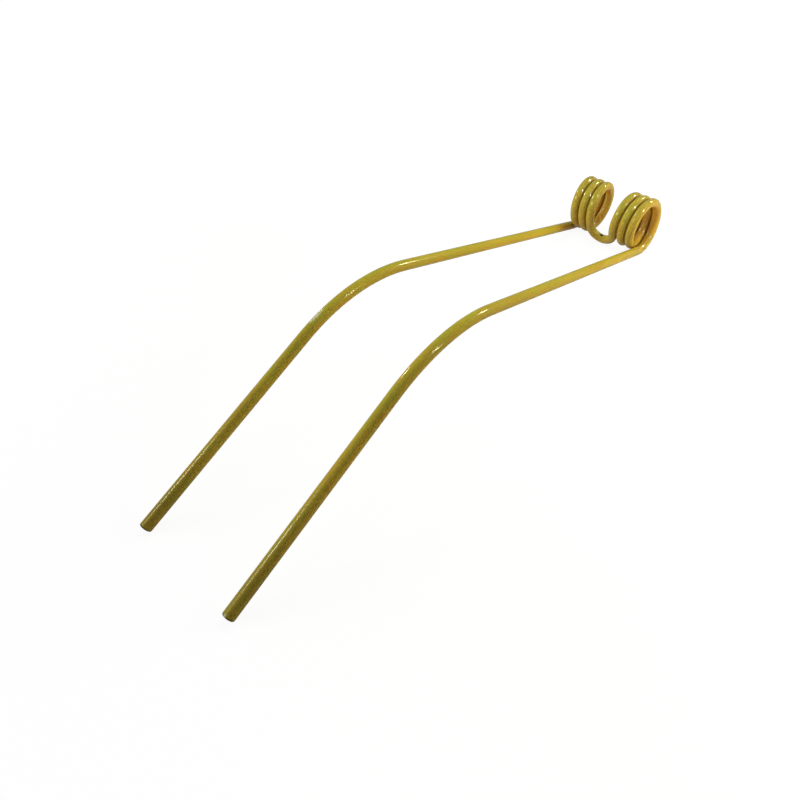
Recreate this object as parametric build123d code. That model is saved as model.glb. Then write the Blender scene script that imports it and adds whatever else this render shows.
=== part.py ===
from build123d import *
import os
from math import asin, atan2, cos, degrees, hypot, radians, sin, sqrt

# Rake tine: one round spring wire with two coils, a bridge between them and two bent arms.
# Sizes are millimetres and degrees.

# Wire
wire_diameter = 9.5
end_chamfer = 0.9

# Coils, two alike and mirror images of each other
coil_bore = 40.5  # clear diameter through the turns
turn_gap = 0.6  # clear space from one turn to the next
coil_turns = 2.86  # from straight below the axis to the bridge
opening_turns = 0.25  # outer part of those, where the wire opens out to a larger radius

# Arms
arm_spacing = 84.0  # between the wire's centres, where the arms leave the coils
arm_offset = 4.0  # how much further from the coil's axis the arm lies than the turns
arm_splay = 0.75  # outward lean of each arm
arm_length = 290.0  # straight run from the coil to the bend
bend_radius = 146.0  # at the wire's centre
bend_angle = 43.3
tip_length = 175.0  # straight run from the bend to the cut end

# Bridge
bridge_leg = 4.5  # straight run from each coil to the half-round

# What follows from them
wire_radius = wire_diameter / 2
turn_radius = (coil_bore + wire_diameter) / 2
turn_pitch = wire_diameter + turn_gap
path_samples = 200  # points looked at along an edge to find its lowest one

# The wire is laid out with the coils' axis along Y, and the arms along X and bent down.
# The half at +Y is drawn, from its cut end to the middle of the bridge, and the other mirrors it.
down = Vector(0, 0, -1)
inward = Vector(0, -1, 0)
along = Vector(cos(radians(arm_splay)), sin(radians(arm_splay)), 0)
arm_foot = Vector(arm_offset, arm_spacing / 2, -turn_radius - arm_offset)


def on_turns(turns):
    """Point and heading on the regular turns, counted from straight below the axis."""
    angle = radians(360 * turns)
    y = arm_spacing / 2 - turn_pitch * (turns - opening_turns / 2)
    point = Vector(-turn_radius * sin(angle), y, -turn_radius * cos(angle))
    heading = Vector(-turn_radius * cos(angle), -turn_pitch / radians(360), turn_radius * sin(angle))
    return point, heading.normalized()


def arc_from(start, heading, end):
    return TangentArc(start, end, tangent=heading)


def two_arcs(start, start_heading, end, end_heading):
    """Two arcs that meet smoothly, leave start and reach end along the given headings."""
    across = end - start
    both = start_heading + end_heading
    turn = 1 - start_heading.dot(end_heading)
    root = sqrt(across.dot(both) ** 2 + 2 * turn * across.dot(across))
    reach = (root - across.dot(both)) / (2 * turn)
    middle = (start + end + (start_heading - end_heading) * reach) * 0.5
    first = arc_from(start, start_heading, middle)
    return [first, arc_from(middle, first % 1, end)]


def arm_path():
    """Tip, bend and arm."""
    bend = radians(bend_angle)
    tip_heading = along * cos(bend) + down * sin(bend)
    bend_start = arm_foot + along * arm_length
    bend_end = bend_start + along * (bend_radius * sin(bend)) + down * (bend_radius * (1 - cos(bend)))
    cut_end = bend_end + tip_heading * tip_length
    return [
        Line(cut_end, bend_end),
        arc_from(bend_end, -tip_heading, bend_start),
        Line(bend_start, arm_foot),
    ]


def coil_path():
    """The outer part turn that opens out to the arm, and the regular turns."""
    start, heading = on_turns(opening_turns)
    helix = Helix(turn_pitch, turn_pitch * (coil_turns - opening_turns), turn_radius, lefthand=True)
    base = Plane(origin=(0, start.Y, 0), x_dir=(start.X, 0, start.Z), z_dir=inward)
    return two_arcs(arm_foot, -along, start, heading) + [base * helix]


def bridge_path():
    """Straight leg and quarter-round, up to the middle plane."""
    start, heading = on_turns(coil_turns)
    leg_end = start + heading * bridge_leg
    slant = heading.dot(inward)
    forward = (heading - inward * slant).normalized()
    radius = leg_end.Y / cos(asin(slant))
    middle = Vector(leg_end.X, 0, leg_end.Z) + forward * (radius * (1 - slant))
    return [Line(start, leg_end), arc_from(leg_end, heading, middle)]


def bent_wire(path):
    """The whole wire, from one cut end to the other."""
    far_half = [edge.mirror(Plane.XZ) for edge in reversed(path)]
    section = Plane(origin=path[0] @ 0, z_dir=path[0] % 0) * Circle(wire_radius)
    wire = sweep(section, path=Wire(path + far_half))
    cut_ends = wire.faces().filter_by(GeomType.PLANE)
    return chamfer(cut_ends.edges(), end_chamfer)


def floor_slope(point, toe):
    """Slope of the floor that touches the wire below point and passes through toe."""
    run = toe.X - point.X
    rise = point.Z - toe.Z
    return degrees(atan2(rise, run) - asin(wire_radius / hypot(run, rise)))


def rest_tilt(tip, low_edges):
    """How far the wire tilts when it stands on its two tips and the lowest part of its coils."""
    heading = tip % 0
    toe = tip @ 0 + heading * end_chamfer + Vector(-heading.Z, 0, heading.X) * wire_radius
    points = [edge @ (step / path_samples) for edge in low_edges for step in range(path_samples + 1)]
    return min(floor_slope(point, toe) for point in points)


def at_rest(wire, tilt):
    """The wire as it stands on the ground, with the origin on the ground below its middle."""
    standing = Rot(0, -tilt, 0) * wire
    box = standing.bounding_box()
    return Pos(-box.center().X, 0, -box.min.Z) * standing


arm = arm_path()
coil = coil_path()
bridge = bridge_path()
tine_wire = at_rest(bent_wire(arm + coil + bridge), rest_tilt(arm[0], coil + bridge))

os.makedirs("parts", exist_ok=True)
export_step(tine_wire, "parts/tine_wire.step")
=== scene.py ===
from math import asin, atan2, cos, pi, radians, sin, sqrt

import bpy
import numpy as np
from mathutils import Euler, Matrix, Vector


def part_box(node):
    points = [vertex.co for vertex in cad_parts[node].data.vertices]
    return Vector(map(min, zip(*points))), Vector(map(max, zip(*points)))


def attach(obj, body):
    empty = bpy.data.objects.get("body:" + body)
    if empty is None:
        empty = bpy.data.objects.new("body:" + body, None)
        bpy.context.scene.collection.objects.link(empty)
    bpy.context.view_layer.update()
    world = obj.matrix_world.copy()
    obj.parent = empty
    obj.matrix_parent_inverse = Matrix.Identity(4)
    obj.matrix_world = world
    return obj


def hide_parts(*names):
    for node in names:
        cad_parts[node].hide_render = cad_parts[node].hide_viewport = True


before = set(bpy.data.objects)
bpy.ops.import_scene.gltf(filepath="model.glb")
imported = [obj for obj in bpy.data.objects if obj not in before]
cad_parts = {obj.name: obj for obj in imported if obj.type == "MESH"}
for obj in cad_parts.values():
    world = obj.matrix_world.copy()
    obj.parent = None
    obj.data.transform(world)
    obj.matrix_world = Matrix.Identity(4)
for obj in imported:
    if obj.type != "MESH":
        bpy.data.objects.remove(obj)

scene = bpy.context.scene
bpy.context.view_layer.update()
print("frame loaded")

# The wire's own sizes, in metres and degrees
tine = {
    "node": "tine_wire",  # the solid that it stands for
    "name": "painted_tine",
    "radius": 0.00473,  # a hair under the solid's, so that the facets stay inside its box
    "turnRadius": 0.025,  # of the coils, at the wire's centre
    "turnPitch": 0.0101,
    "coilTurns": 2.86,
    "openingTurns": 0.25,  # outer part turn that opens out to the arm
    "armSpacing": 0.084,
    "armOffset": 0.004,
    "armSplay": 0.75,
    "armLength": 0.290,
    "bendRadius": 0.146,
    "bendAngle": 43.3,
    "tipLength": 0.175,
    "bridgeLeg": 0.0045,
    "endRound": 0.0012,
    "endSteps": 6,  # of the mesh over that rounding
    "step": 0.0014,  # between rings of the mesh elsewhere
    "fewestSteps": 4,  # in any one run of the wire
    "sides": 40,  # points in a ring
    "wideGap": 0.01,  # no clearance is counted past this one
    "steepestLean": 45,  # the lean at rest is looked for below this one
    "leanTries": 50,
}


def onTurns(turns):
    # point and heading on the regular turns, counted from straight below the axis
    angle = 2 * pi * turns
    radius = tine["turnRadius"]
    y = tine["armSpacing"] / 2 - tine["turnPitch"] * (turns - tine["openingTurns"] / 2)
    point = Vector((-radius * sin(angle), y, -radius * cos(angle)))
    heading = Vector((-radius * cos(angle), -tine["turnPitch"] / (2 * pi), radius * sin(angle)))
    return point, heading.normalized()


def stepsOver(length):
    return max(tine["fewestSteps"], round(length / tine["step"]))


def straightRun(start, end):
    count = stepsOver((end - start).length)
    return [start.lerp(end, i / count) for i in range(count)]


def arcRun(start, heading, end):
    # arc that leaves start along heading and reaches end, with its heading there
    chord = end - start
    side = (chord - heading * chord.dot(heading)).normalized()
    radius = chord.length_squared / (2 * chord.dot(side))
    sweep = 2 * atan2(chord.dot(side), chord.dot(heading))
    count = stepsOver(radius * sweep)
    points = []
    for i in range(count):
        angle = sweep * i / count
        points.append(start + (heading * sin(angle) + side * (1 - cos(angle))) * radius)
    return points, heading * cos(sweep) + side * sin(sweep)


def twoArcs(start, startHeading, end, endHeading):
    # two arcs that meet smoothly, where the wire opens out from the coil to the arm
    across = end - start
    both = startHeading + endHeading
    turn = 1 - startHeading.dot(endHeading)
    root = sqrt(across.dot(both) ** 2 + 2 * turn * across.dot(across))
    reach = (root - across.dot(both)) / (2 * turn)
    middle = (start + end + (startHeading - endHeading) * reach) * 0.5
    first, heading = arcRun(start, startHeading, middle)
    return first + arcRun(middle, heading, end)[0]


def armRun():
    # tip, bend and arm at +Y, up to the foot where the coil starts
    splay = radians(tine["armSplay"])
    bend = radians(tine["bendAngle"])
    along = Vector((cos(splay), sin(splay), 0))
    down = Vector((0, 0, -1))
    footHeight = -tine["turnRadius"] - tine["armOffset"]
    foot = Vector((tine["armOffset"], tine["armSpacing"] / 2, footHeight))
    tipHeading = along * cos(bend) + down * sin(bend)
    bendStart = foot + along * tine["armLength"]
    bendEnd = bendStart + (along * sin(bend) + down * (1 - cos(bend))) * tine["bendRadius"]
    cutEnd = bendEnd + tipHeading * tine["tipLength"]
    points = straightRun(cutEnd, bendEnd)
    points += arcRun(bendEnd, -tipHeading, bendStart)[0]
    points += straightRun(bendStart, foot)
    return points, foot, -along


def coilRun(foot, heading):
    opening = tine["openingTurns"]
    turns = tine["coilTurns"] - opening
    count = stepsOver(2 * pi * tine["turnRadius"] * turns)
    points = twoArcs(foot, heading, *onTurns(opening))
    return points + [onTurns(opening + turns * i / count)[0] for i in range(count)]


def bridgeRun():
    # leg and quarter-round, up to and with the middle of the bridge
    start, heading = onTurns(tine["coilTurns"])
    legEnd = start + heading * tine["bridgeLeg"]
    inward = -heading.y
    forward = Vector((heading.x, 0, heading.z)).normalized()
    radius = legEnd.y / cos(asin(inward))
    middle = Vector((legEnd.x, 0, legEnd.z)) + forward * (radius * (1 - inward))
    return straightRun(start, legEnd) + arcRun(legEnd, heading, middle)[0] + [middle]


def wireLine():
    arm, foot, heading = armRun()
    half = arm + coilRun(foot, heading) + bridgeRun()
    other = [Vector((p.x, -p.y, p.z)) for p in reversed(half[:-1])]
    return np.array(half + other)


def roundedEnd(end, inner):
    # rings of a rounded end, from its start to the cut: their centres and radii
    inward = (inner - end) / np.linalg.norm(inner - end)
    size, steps = tine["endRound"], tine["endSteps"]
    angles = [pi / 2 * i / steps for i in range(steps + 1)]
    centres = [end + inward * (size * (1 - sin(angle))) for angle in angles]
    return centres, [tine["radius"] - size * (1 - cos(angle)) for angle in angles]


def withRoundedEnds(line):
    # ring centres and radii, with the first and last stretch given over to the rounded ends
    first, firstRadii = roundedEnd(line[0], line[1])
    last, lastRadii = roundedEnd(line[-1], line[-2])
    centres = first[::-1] + list(line[1:-1]) + last
    radii = firstRadii[::-1] + [tine["radius"]] * (len(line) - 2) + lastRadii
    return np.array(centres), np.array(radii)


def acrossWire(line):
    # heading, and two directions across the wire that twist as little as possible
    heading = np.gradient(line, axis=0)
    heading /= np.linalg.norm(heading, axis=1)[:, None]
    side = np.zeros_like(line)
    side[0] = (0, 1, 0)
    for i in range(len(line)):
        before = side[max(i - 1, 0)]
        now = before - heading[i] * before.dot(heading[i])
        side[i] = now / np.linalg.norm(now)
    return heading, side, np.cross(heading, side)


def tubeRings(line, radii, sides):
    # points round a tube at each place on its line, and each one's direction in its section
    heading, side, up = acrossWire(line)
    turn = np.linspace(0, 2 * pi, sides, endpoint=False)
    cosines, sines = np.cos(turn), np.sin(turn)
    ring = side[:, None] * cosines[None, :, None] + up[:, None] * sines[None, :, None]
    return line[:, None] + ring * radii[:, None, None], cosines, sines


def tubeFaces(count, sides, first=0):
    # quads from ring to ring, and a flat face at each end
    faces = []
    for i in range(count - 1):
        here = first + i * sides
        for j in range(sides):
            k = (j + 1) % sides
            faces.append((here + j, here + k, here + sides + k, here + sides + j))
    end = first + (count - 1) * sides
    return faces + [tuple(reversed(range(first, first + sides))), tuple(range(end, end + sides))]


def distanceAlong(line):
    return np.concatenate([[0], np.cumsum(np.linalg.norm(np.diff(line, axis=0), axis=1))])


def pulledStraight(distance, radii, cosines, sines):
    # a tube's points as if it were pulled straight: distance from its end, and place in its section
    straight = np.empty((len(distance), len(cosines), 3))
    straight[:, :, 0] = distance[:, None]
    straight[:, :, 1] = radii[:, None] * cosines
    straight[:, :, 2] = radii[:, None] * sines
    return straight.reshape(-1, 3)


def clearances(line, rings, distance):
    # clear space from each point of the surface to the nearest other turn, up to a wide one
    clear = np.full(rings.shape[:2], tine["wideGap"])
    halfTurn = pi * tine["turnRadius"]
    for i in np.flatnonzero(line[:, 0] < tine["armOffset"] + tine["turnRadius"]):
        others = line[np.abs(distance - distance[i]) > halfTurn]
        away = np.linalg.norm(rings[i][:, None] - others[None], axis=2).min(axis=1)
        clear[i] = np.clip(away - tine["radius"], 0, tine["wideGap"])
    return clear


def outwardness(rings, distance):
    # -1 on the side of a coil's wire that faces the coil's axis, 1 on the far side, 0 off the coils
    bend = tine["bendRadius"] * radians(tine["bendAngle"])
    footAt = tine["tipLength"] + bend + tine["armLength"]
    fromFoot = np.minimum(distance, distance[-1] - distance) - footAt
    share = np.clip(fromFoot / tine["radius"], 0, 1)
    fromAxis = np.hypot(rings[:, :, 0], rings[:, :, 2]) - tine["turnRadius"]
    return np.clip(fromAxis / tine["radius"], -1, 1) * share[:, None]


def lowest(points, lean):
    return (points[:, 0] * sin(lean) + points[:, 2] * cos(lean)).min()


def leanOfTine(points, tipPoints):
    # how far it leans when its tips and its coils stand on one floor
    level, steep = 0.0, radians(tine["steepestLean"])
    for _ in range(tine["leanTries"]):
        lean = (level + steep) / 2
        if lowest(tipPoints, lean) < lowest(points, lean):
            level = lean
        else:
            steep = lean
    return lean


def leaned(points, lean):
    x = points[:, 0] * cos(lean) - points[:, 2] * sin(lean)
    z = points[:, 0] * sin(lean) + points[:, 2] * cos(lean)
    return np.column_stack([x, points[:, 1], z])


def nameValues(mesh, name, kind, values):
    made = mesh.attributes.new(name, kind, "POINT")
    field = "vector" if kind == "FLOAT_VECTOR" else "value"
    made.data.foreach_set(field, values.astype(np.float32).ravel())


def makePiece(name, points, faces, straight, clear, outward):
    mesh = bpy.data.meshes.new(name)
    mesh.from_pydata(points.tolist(), [], faces)
    mesh.shade_smooth()
    for face in mesh.polygons:
        face.use_smooth = len(face.vertices) == 4  # the flat ends have more
    nameValues(mesh, "pulledStraight", "FLOAT_VECTOR", straight)
    nameValues(mesh, "clearance", "FLOAT", clear)
    nameValues(mesh, "outward", "FLOAT", outward)
    piece = bpy.data.objects.new(name, mesh)
    scene.collection.objects.link(piece)
    return piece


def buildTine():
    line, radii = withRoundedEnds(wireLine())
    rings, cosines, sines = tubeRings(line, radii, tine["sides"])
    distance = distanceAlong(line)
    isTip = line[:, 0] > tine["armOffset"] + tine["armLength"]
    isCoil = line[:, 0] < tine["armOffset"]
    lean = leanOfTine(rings[isCoil].reshape(-1, 3), rings[isTip].reshape(-1, 3))
    points = leaned(rings.reshape(-1, 3), lean)
    low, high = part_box(tine["node"])
    middle = (points[:, 0].min() + points[:, 0].max()) / 2
    shift = np.array([(low.x + high.x) / 2 - middle, 0, low.z - points[:, 2].min()])
    points = points + shift

    straight = pulledStraight(distance, radii, cosines, sines)
    faces = tubeFaces(len(line), tine["sides"])
    clear = clearances(line, rings, distance)
    piece = makePiece(tine["name"], points, faces, straight, clear, outwardness(rings, distance))
    length = float(distance[-1])
    print("tine made:", len(faces), "faces,", round(length, 4), "m of wire")
    surface = {"points": points, "straight": straight}
    return piece, length, surface, lean, shift


# A thin dark fill in the creases between the turns, which closes the gaps between them; with no clear
# space round it, it takes the full painted shade of the creases
creases = {
    "name": "crease_shade_fill",
    "radius": 0.0007,
    "sides": 12,
    "paintFrom": 0.25,  # how far along the wire its paint is taken from, as a share of the length
}


def creaseLines():
    # midway between each turn and the next, from the foot of the arm on, on both coils
    first, last = tine["openingTurns"], tine["coilTurns"] - 1
    count = stepsOver(2 * pi * tine["turnRadius"] * (last - first))
    _, foot, heading = armRun()
    line = []
    for point in twoArcs(foot, heading, *onTurns(first)):
        turns = atan2(-point.x, -point.z) / (2 * pi)
        line.append((point + onTurns(turns + 1)[0]) / 2)
    for i in range(count + 1):
        turns = first + (last - first) * i / count
        line.append((onTurns(turns)[0] + onTurns(turns + 1)[0]) / 2)
    line = np.array(line)
    return line, line * (1, -1, 1)


def buildCreases(length, lean, shift):
    points, straight, faces = [], [], []
    for line in creaseLines():
        radii = np.full(len(line), creases["radius"])
        rings, cosines, sines = tubeRings(line, radii, creases["sides"])
        distance = distanceAlong(line) + length * creases["paintFrom"]
        faces += tubeFaces(len(line), creases["sides"], sum(len(part) for part in points))
        points.append(leaned(rings.reshape(-1, 3), lean) + shift)
        straight.append(pulledStraight(distance, radii, cosines, sines))
    points = np.concatenate(points)
    # no clear space, so the fill is all painted crease shade
    closed = np.zeros(len(points))
    piece = makePiece(creases["name"], points, faces, np.concatenate(straight), closed, closed)
    print("creases made:", len(faces), "faces")
    return piece


def addNode(tree, kind, inputs=None, **settings):
    # a node with its options set and its inputs filled by values or by other nodes
    made = tree.nodes.new(kind)
    for name, value in settings.items():
        setattr(made, name, value)
    for name, value in (inputs or {}).items():
        if isinstance(value, bpy.types.NodeSocket):
            tree.links.new(value, made.inputs[name])
        else:
            made.inputs[name].default_value = value
    return made.outputs[0]


def noise(tree, place, perMetre, detail, rough):
    inputs = {"Vector": place, "Scale": perMetre, "Detail": detail, "Roughness": rough}
    return addNode(tree, "ShaderNodeTexNoise", inputs)


def ramp(tree, value, low, high, toLow=0.0, toHigh=1.0):
    inputs = {"Value": value, "From Min": low, "From Max": high, "To Min": toLow, "To Max": toHigh}
    return addNode(tree, "ShaderNodeMapRange", inputs)


def maths(tree, operation, *values):
    return addNode(tree, "ShaderNodeMath", dict(enumerate(values)), operation=operation)


def vectorMaths(tree, operation, *values):
    return addNode(tree, "ShaderNodeVectorMath", dict(enumerate(values)), operation=operation)


def lengthOf(tree, vector):
    return vectorMaths(tree, "LENGTH", vector).node.outputs["Value"]


def blendColours(tree, share, first, second, how="MIX"):
    # the numbers are the places of the share, the two colours and the blend on a colour mix node
    made = tree.nodes.new("ShaderNodeMix")
    made.data_type = "RGBA"
    made.blend_type = how
    for index, value in ((0, share), (6, first), (7, second)):
        if isinstance(value, bpy.types.NodeSocket):
            tree.links.new(value, made.inputs[index])
        else:
            made.inputs[index].default_value = value
    return made.outputs[2]


def tintWhere(tree, share, colour, tint):
    # the colour as it is, turning to its product with the tint where the share is 1
    return blendColours(tree, share, colour, blendColours(tree, 1.0, colour, tint, "MULTIPLY"))


def valueOf(tree, name, output):
    made = tree.nodes.new("ShaderNodeAttribute")
    made.attribute_name = name
    return made.outputs[output]


# The yellow enamel: colours are linear, lengths are in metres.
# A noise is given by its waves per metre, its detail and how rough the detail is.
enamel = {
    "name": "yellowEnamel",
    "gold": (0.555, 0.395, 0.038, 1),
    "olive": (0.490, 0.395, 0.036, 1),
    "amber": (0.580, 0.362, 0.034, 1),
    "patches": (150.0, 3.0, 0.6),  # noise of the colours, across the wire
    "patchStretch": 0.35,  # its waves along the wire, as a share of those across it
    "oliveToGold": (0.30, 0.50),  # in that noise
    "goldToAmber": (0.50, 0.70),
    "tone": (14.0, 1.0, 0.5),
    "toneDepth": 0.06,
    "speckle": (650.0, 1.0, 0.6),
    "speckleDepth": 0.20,
    "noiseSpan": (0.3, 0.7),  # of tone and speckle, brought to their full depth
    # painted shade in the creases between the turns, where they shade each other: dark brown, fullest
    # where the clear space to the next turn closes
    "creaseShadeColour": (0.25, 0.115, 0.016, 1),
    "creaseShadeDepth": 0.75,
    "creaseShadeReach": (0.0003, 0.0026),  # clear space to the next turn where it is full, and where it ends
    # painted shade: darker towards the ends, where the light falls off along the tips, with an uneven
    # edge
    "tipShadeColour": (0.78, 0.80, 0.80, 1),  # times the paint's own
    "tipShadeReach": (0.02, 0.085),  # from the cut: full up to here, and none beyond
    "tipShadeUneven": (0.04, -0.02),  # the patches times one, plus the other, shift that distance
    # darker at the cut: the thin paint over the steel there, and painted shade of the cut face, which
    # faces away from the light
    "cutColour": (0.10, 0.09, 0.015, 1),
    "cutReach": (0.0008, 0.0016),  # the same
    "cutShare": 0.8,
    # painted shade and bounce light: more orange on the side of the coils' wire that faces their axis
    "boreShadeColour": (1.05, 0.85, 0.93, 1),  # times the paint's own, on the side towards the coil's axis
    "boreShadeReach": (-0.2, -0.9),  # outwardness where it starts, and where it is full
    # painted shade: darker on the side away from the coil's axis
    "outsideShadeColour": (0.88, 0.87, 0.92, 1),  # and on the side away from it
    "outsideShadeReach": (0.2, 0.9),  # the same
    "armToCoil": (0.5, 0.58),  # from the cut, where the arm's finish turns to the coil's
    "armSpeckle": 0.4,  # times the coil's, because the arms are smoother
    "armPeel": 0.4,  # the same
    "peel": (420.0, 1.5, 0.5),
    "peelHeight": 0.00003,
    "wornHeight": 0.08,  # worn paint lies lower by this share of it
    "rough": (0.09, 0.14),
    "roughPatches": (0.35, 0.65),  # in the noise of the colours
    "tipRough": 0.12,  # more of it towards the ends
    "tipRoughReach": (0.03, 0.15),  # from the cut
    "dullRough": 0.5,  # more of it on worn paint and in the creases
    "shine": (0.22, 0.5),  # on the arms, and on the coils
    "ior": 1.5,
}

# Marks on the paint, with a painted shadow and a painted highlight among them: place in the frame,
# length along the wire and width across it, with the softness of the edge and the share of its colour
# in the paint's
marks = {
    "scuff": {
        "at": (0.1223, -0.0475, 0.0919),
        "long": 0.0055,
        "wide": 0.0014,
        "colour": (0.72, 0.64, 0.44, 1),
        "soft": 0.9,
        "share": 0.75,
        "wornAndGlint": True,
    },
    "chip": {
        "at": (-0.2458, -0.0005, 0.0113),
        "long": 0.0030,
        "wide": 0.0015,
        "colour": (0.02, 0.018, 0.012, 1),
        "soft": 0.3,
        "share": 1.0,
        "wornAndGlint": True,
    },
    # painted shadow and bounce light of the coil on the arm, where the arm passes under the coil:
    # reddish brown
    "coilShadeOnArm": {
        "at": (-0.2270, -0.0380, 0.0155),
        "long": 0.0130,
        "wide": 0.0060,
        "colour": (0.50, 0.22, 0.04, 1),
        "soft": 0.9,
        "share": 0.6,
        "wornAndGlint": False,
    },
    # painted highlight: a pale dot at the corner of the cut on a tip, made rough and lower as worn
    # paint is
    "paintedTipGlint": {
        "at": (0.2921, 0.0488, 0.0086),
        "long": 0.0010,
        "wide": 0.0010,
        "colour": (0.75, 0.68, 0.40, 1),
        "soft": 0.5,
        "share": 0.8,
        "wornAndGlint": True,
    },
}

# How uneven the edges of the marks are
markEdge = {"noise": (900.0, 2.0, 0.5), "span": (0.2, 0.8), "depth": 0.5}


def aroundMiddle(tree, value, middle, depth):
    # tone or speckle, brought to a depth on either side of a middle value
    return ramp(tree, value, *enamel["noiseSpan"], middle - depth, middle + depth)


def armToCoil(tree, fromCut, onArm, onCoil):
    return ramp(tree, fromCut, *enamel["armToCoil"], onArm, onCoil)


def paintColour(tree, straight, patches, fromCut):
    # from olive through gold to amber, with a slow change of tone and a fine speckle
    toGold = ramp(tree, patches, *enamel["oliveToGold"])
    toAmber = ramp(tree, patches, *enamel["goldToAmber"])
    colour = blendColours(tree, toGold, enamel["olive"], enamel["gold"])
    colour = blendColours(tree, toAmber, colour, enamel["amber"])
    tone = noise(tree, straight, *enamel["tone"])
    tone = aroundMiddle(tree, tone, 1, enamel["toneDepth"])
    speckle = noise(tree, straight, *enamel["speckle"])
    speckle = aroundMiddle(tree, speckle, 0, enamel["speckleDepth"])
    speckle = maths(tree, "MULTIPLY", armToCoil(tree, fromCut, enamel["armSpeckle"], 1.0), speckle)
    return blendColours(tree, 1.0, colour, maths(tree, "ADD", tone, speckle), "MULTIPLY")


def shadedColour(tree, colour, patches, fromCut, inCreaseShade):
    # painted shade: darker between the turns, towards the ends and on top of the coils; painted shade
    # and bounce light tint the inside of the coils; darker at the cut
    colour = blendColours(tree, inCreaseShade, colour, enamel["creaseShadeColour"])
    # painted shade towards the ends
    uneven = maths(tree, "MULTIPLY_ADD", patches, *enamel["tipShadeUneven"])
    atTip = ramp(tree, maths(tree, "ADD", fromCut, uneven), *enamel["tipShadeReach"], 1.0, 0.0)
    colour = tintWhere(tree, atTip, colour, enamel["tipShadeColour"])
    outward = valueOf(tree, "outward", "Fac")
    # painted shade and bounce light inside the coils
    colour = tintWhere(tree, ramp(tree, outward, *enamel["boreShadeReach"]), colour, enamel["boreShadeColour"])
    # painted shade on top of the coils, the side away from their axis
    colour = tintWhere(tree, ramp(tree, outward, *enamel["outsideShadeReach"]), colour, enamel["outsideShadeColour"])
    # the cut, darker with its thin paint and with painted shade
    onCut = ramp(tree, fromCut, *enamel["cutReach"], enamel["cutShare"], 0.0)
    return blendColours(tree, onCut, colour, enamel["cutColour"])


def markShare(tree, straight, ragged, mark, surface):
    # the mark's share on it, 0 off it, with an uneven edge
    nearest = np.argmin(np.linalg.norm(surface["points"] - np.array(mark["at"]), axis=1))
    centre = tuple(float(v) for v in surface["straight"][nearest])
    offset = vectorMaths(tree, "SUBTRACT", straight, centre)
    scale = (1 / mark["long"], 1 / mark["wide"], 1 / mark["wide"])
    away = lengthOf(tree, vectorMaths(tree, "MULTIPLY", offset, scale))
    soft = mark["soft"] / 2
    return ramp(tree, maths(tree, "ADD", away, ragged), 1 - soft, 1 + soft, mark["share"], 0.0)


def markedColour(tree, colour, straight, surface):
    # the colour with the marks on it, and a mask of the worn paint and of the painted highlight
    ragged = noise(tree, straight, *markEdge["noise"])
    ragged = ramp(tree, ragged, *markEdge["span"], -markEdge["depth"], markEdge["depth"])
    wornAndGlint = 0.0
    for mark in marks.values():
        share = markShare(tree, straight, ragged, mark, surface)
        colour = blendColours(tree, share, colour, mark["colour"])
        if mark["wornAndGlint"]:
            wornAndGlint = maths(tree, "MAXIMUM", share, wornAndGlint)
    return colour, wornAndGlint


def roughness(tree, patches, fromCut, wornAndGlint, inCreaseShade):
    atTip = ramp(tree, fromCut, *enamel["tipRoughReach"], enamel["tipRough"], 0.0)
    dull = maths(tree, "MULTIPLY", maths(tree, "MAXIMUM", wornAndGlint, inCreaseShade), enamel["dullRough"])
    rough = ramp(tree, patches, *enamel["roughPatches"], *enamel["rough"])
    return maths(tree, "ADD", maths(tree, "ADD", rough, atTip), dull)


def orangePeel(tree, straight, fromCut, wornAndGlint):
    peel = noise(tree, straight, *enamel["peel"])
    peel = maths(tree, "MULTIPLY", peel, armToCoil(tree, fromCut, enamel["armPeel"], 1.0))
    height = maths(tree, "SUBTRACT", peel, maths(tree, "MULTIPLY", wornAndGlint, enamel["wornHeight"]))
    return addNode(tree, "ShaderNodeBump", {"Height": height, "Distance": enamel["peelHeight"]})


def makeEnamel(length, surface):
    material = bpy.data.materials.new(enamel["name"])
    material.use_nodes = True
    tree = material.node_tree
    shader = tree.nodes["Principled BSDF"]
    straight = valueOf(tree, "pulledStraight", "Vector")
    along = addNode(tree, "ShaderNodeSeparateXYZ", {"Vector": straight})
    fromCut = maths(tree, "PINGPONG", along, length / 2)
    stretched = vectorMaths(tree, "MULTIPLY", straight, (enamel["patchStretch"], 1, 1))
    patches = noise(tree, stretched, *enamel["patches"])
    clearance = valueOf(tree, "clearance", "Fac")
    # painted shade in the creases, strongest where the clear space to the next turn is smallest
    inCreaseShade = ramp(tree, clearance, *enamel["creaseShadeReach"], enamel["creaseShadeDepth"], 0.0)

    colour = paintColour(tree, straight, patches, fromCut)
    colour = shadedColour(tree, colour, patches, fromCut, inCreaseShade)
    colour, wornAndGlint = markedColour(tree, colour, straight, surface)
    links = {
        "Base Color": colour,
        "Roughness": roughness(tree, patches, fromCut, wornAndGlint, inCreaseShade),
        "Specular IOR Level": armToCoil(tree, fromCut, *enamel["shine"]),
        "Normal": orangePeel(tree, straight, fromCut, wornAndGlint),
    }
    for name, value in links.items():
        tree.links.new(value, shader.inputs[name])
    shader.inputs["IOR"].default_value = enamel["ior"]
    return material


tinePiece, wireLength, tineSurface, tineLean, tineShift = buildTine()
creasePiece = buildCreases(wireLength, tineLean, tineShift)
yellowEnamel = makeEnamel(wireLength, tineSurface)
for piece in (tinePiece, creasePiece):
    piece.data.materials.append(yellowEnamel)
    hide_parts(tine["node"])
    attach(piece, "root")
print("enamel on")

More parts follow.
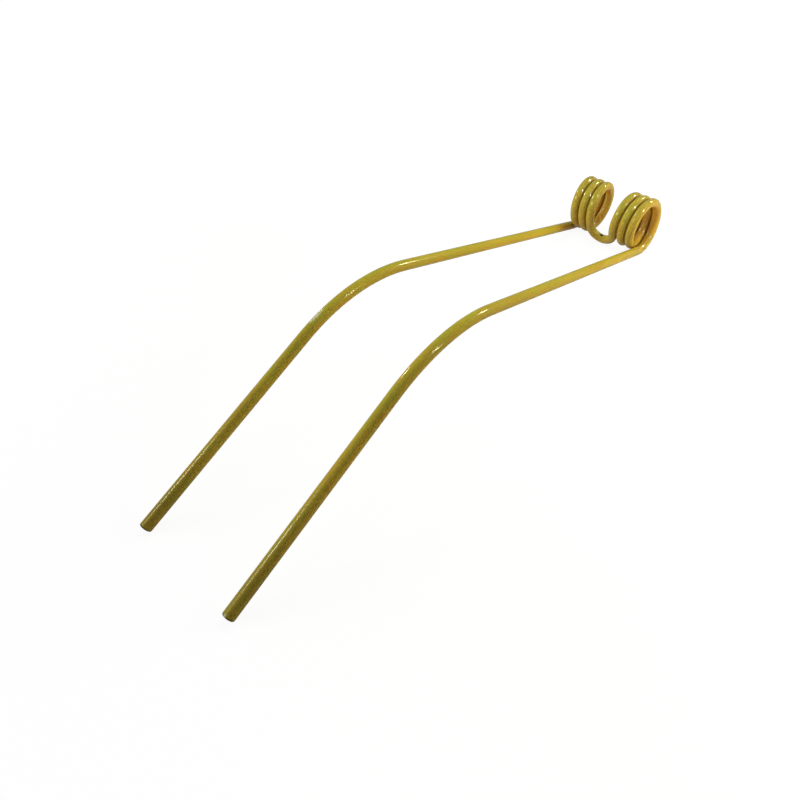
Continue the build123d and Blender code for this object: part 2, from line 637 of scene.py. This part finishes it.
# The studio's lamps: places and sizes in metres, power in watts, a sun's in watts per square metre
lamps = {
    "frontSun": {"from": (1.0, -1.0, 0.3), "spread": 30, "power": 1.91, "colour": (0.98, 0.96, 1.2)},
    "coilSoft": {"place": (-0.45, 0.40, 0.30), "size": 0.4, "power": 2.4, "colour": (1, 0.92, 0.8)},
    "topSoft": {"place": (-0.10, -0.10, 0.50), "size": 0.4, "power": 1.30, "colour": (0.7, 1, 0.6)},
    "sideSoft": {"place": (-0.32, 0.32, 0.10), "size": 0.15, "power": 0.18, "colour": (1, 0.95, 0.7)},
    "backGlint": {"place": (-1.62, 0.57, 0.96), "size": 0.22, "power": 19.0, "gloss": True},
    "rightGlint": {"place": (-0.39, 1.04, 0.64), "size": 0.09, "power": 4.4, "gloss": True},
    "leftGlint": {"place": (-0.14, -2.3, 1.0), "size": 0.19, "power": 16.0, "gloss": True},
    "highGlint": {"place": (-0.232, 0.69, 0.73), "size": 0.08, "power": 2.4, "gloss": True},
    "frontGlint": {"place": (0.93, -0.70, 0.895), "size": 0.20, "power": 7.0, "gloss": True},
}
allLamps = {
    "target": (-0.1, 0, 0.05),  # what all but the sun point at
    "glintColour": (1, 0.97, 0.65),
}


def addLamp(name, facts):
    # a soft lamp lights only the paint's own colour, and a glint only its gloss
    isSun = "from" in facts
    isGlint = facts.get("gloss", False)
    light = bpy.data.lights.new(name, "SUN" if isSun else "AREA")
    if isSun:
        light.angle = radians(facts["spread"])
        toLamp = Vector(facts["from"])
    else:
        light.shape = "DISK"
        light.size = facts["size"]
        toLamp = Vector(facts["place"]) - Vector(allLamps["target"])
    light.energy = facts["power"]
    light.color = allLamps["glintColour"] if isGlint else facts["colour"]
    lamp = bpy.data.objects.new(name, light)
    lamp.location = facts.get("place", (0, 0, 0))
    lamp.rotation_euler = toLamp.to_track_quat("Z", "Y").to_euler()
    lamp.visible_diffuse = not isGlint
    lamp.visible_glossy = isGlint
    lamp.visible_camera = False
    scene.collection.objects.link(lamp)


for name, facts in lamps.items():
    addLamp(name, facts)
print("lamps placed")

# The floor and the world round the tine, both white to the camera
surroundings = {
    "floorSize": 12.0,
    "floorColour": (0.90, 0.75, 0.70, 1),
    "floorSeen": (0.14, 0.14, 0.14, 1),  # what the lamps add to the white that the camera sees
    "glow": (0.92, 1.0),  # near the tine, where the lamps add to it, and far from it
    "glowReach": (0.25, 1.0),
    "inGloss": 0.27,  # how bright the white is in the enamel's reflections
    "sky": 0.09,
    "white": (1, 1, 1, 1),
}


def whiteLevel(tree):
    # full white for camera and transmission rays, less for glossy ones, none for the rest
    path = tree.nodes.new("ShaderNodeLightPath").outputs
    inGloss = maths(tree, "MULTIPLY", path["Is Glossy Ray"], surroundings["inGloss"])
    seen = maths(tree, "MAXIMUM", path["Is Camera Ray"], path["Is Transmission Ray"])
    return maths(tree, "MAXIMUM", seen, inGloss), maths(tree, "MAXIMUM", seen, path["Is Glossy Ray"])


def makeWorld():
    world = bpy.data.worlds.new("paleStudio")
    world.use_nodes = True
    tree = world.node_tree
    shader = tree.nodes["Background"]
    level, _ = whiteLevel(tree)
    shader.inputs["Color"].default_value = surroundings["white"]
    strength = maths(tree, "MAXIMUM", level, surroundings["sky"])
    tree.links.new(strength, shader.inputs["Strength"])
    scene.world = world


def makeFloor():
    half = surroundings["floorSize"] / 2
    corners = [(-half, -half, 0), (half, -half, 0), (half, half, 0), (-half, half, 0)]
    mesh = bpy.data.meshes.new("floor")
    mesh.from_pydata(corners, [], [(0, 1, 2, 3)])
    floor = bpy.data.objects.new("floor", mesh)
    scene.collection.objects.link(floor)
    material = bpy.data.materials.new("paleFloor")
    material.use_nodes = True
    tree = material.node_tree
    tree.nodes.remove(tree.nodes["Principled BSDF"])
    level, seen = whiteLevel(tree)
    colour = blendColours(tree, seen, surroundings["floorColour"], surroundings["floorSeen"])
    plain = addNode(tree, "ShaderNodeBsdfDiffuse", {"Color": colour})
    away = lengthOf(tree, tree.nodes.new("ShaderNodeTexCoord").outputs["Object"])
    glow = ramp(tree, away, *surroundings["glowReach"], *surroundings["glow"])
    strength = maths(tree, "MULTIPLY", level, glow)
    glow = addNode(tree, "ShaderNodeEmission", {"Color": surroundings["white"], "Strength": strength})
    both = addNode(tree, "ShaderNodeAddShader", {0: plain, 1: glow})
    tree.links.new(both, tree.nodes["Material Output"].inputs["Surface"])
    mesh.materials.append(material)


makeWorld()
makeFloor()
print("floor and world set")

# The photograph's viewpoint
camera = {
    "place": (0.343345, 0.272167, 0.398570),
    "turn": (48.29504, -0.54872, 130.54090),
    "lens": 28.74992,
    "shift": (-0.063125, -0.068125),
    "clipStart": 0.01,
}


def makeCamera():
    data = bpy.data.cameras.new("camera")
    data.lens = camera["lens"]
    data.shift_x, data.shift_y = camera["shift"]
    data.clip_start = camera["clipStart"]
    made = bpy.data.objects.new("camera", data)
    made.location = camera["place"]
    made.rotation_euler = Euler([radians(angle) for angle in camera["turn"]])
    scene.collection.objects.link(made)
    scene.camera = made


makeCamera()
scene.view_settings.view_transform = "Standard"
print("camera placed")
